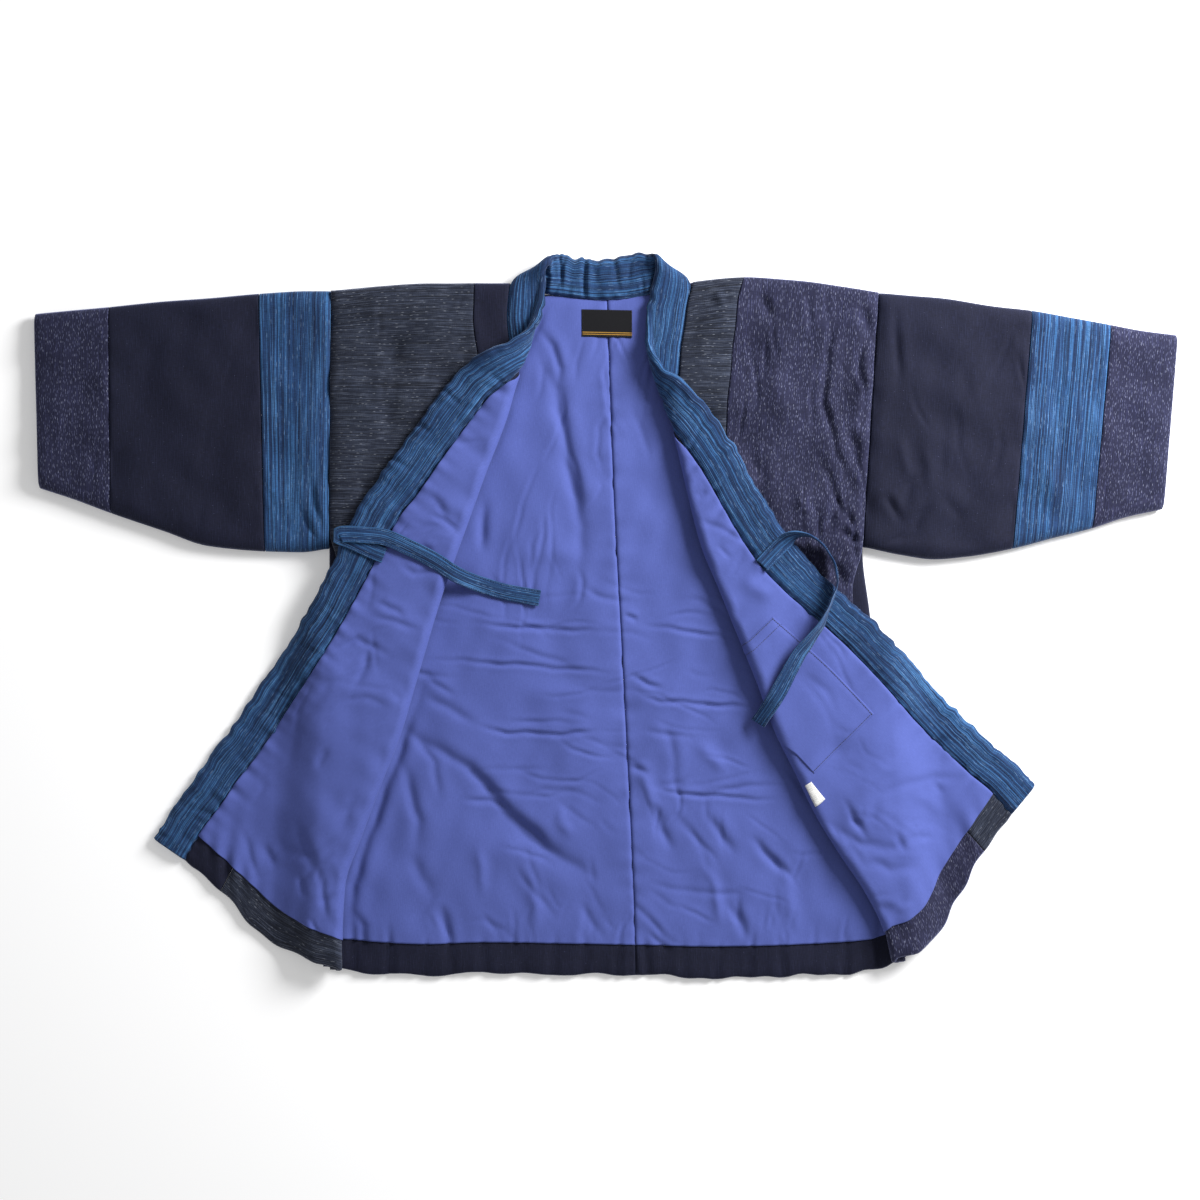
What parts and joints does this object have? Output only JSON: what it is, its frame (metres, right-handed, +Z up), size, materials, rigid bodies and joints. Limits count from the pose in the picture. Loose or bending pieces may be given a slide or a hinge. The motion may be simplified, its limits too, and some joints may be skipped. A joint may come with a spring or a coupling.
{
  "type": "padded hanten short coat laid flat",
  "caption": "Padded short coat laid flat with its face up, both fronts turned outward, wide sleeves spread, long collar band and ties.",
  "frame": {"origin": "centre of the coat's outline at the surface it lies on", "axes": "+X to the viewer's right from sleeve to sleeve, +Y towards the neck, +Z up from the surface"},
  "size_m": [1.2957, 0.8202, 0.0444],
  "materials": {
    "blue_stripe": "slub cotton, uneven light and dark blue stripes",
    "charcoal_stripe": "slub cotton, fine charcoal stripes with pale flecks",
    "speckled_navy": "navy cotton with short pale woven dashes",
    "plain_navy": "plain dark navy cotton with a dry slub",
    "lining_blue": "smooth periwinkle blue cotton lining",
    "label_black": "woven black label with plain gold lines, no lettering",
    "label_white": "plain white satin care label, no lettering"
  },
  "bodies": {
    "root": {"back_right": "plain_navy", "back_left": "plain_navy", "back_lining_right": "lining_blue", "back_lining_left": "lining_blue", "front_right_charcoal": "charcoal_stripe", "front_right_black": "plain_navy", "front_left_speckled": "speckled_navy", "front_left_grey": "charcoal_stripe", "front_lining_right": "lining_blue", "front_lining_left": "lining_blue", "collar_right": "blue_stripe", "collar_back": "blue_stripe", "collar_left": "blue_stripe", "sleeve_right_stripe": "blue_stripe", "sleeve_right_plain": "plain_navy", "sleeve_right_speckled": "speckled_navy", "sleeve_left_plain": "plain_navy", "sleeve_left_stripe": "blue_stripe", "sleeve_left_speckled": "speckled_navy", "tie_right": "blue_stripe", "tie_left": "blue_stripe", "pocket": "lining_blue", "care_label": "label_white", "neck_label": "label_black"}
  },
  "joints": []
}
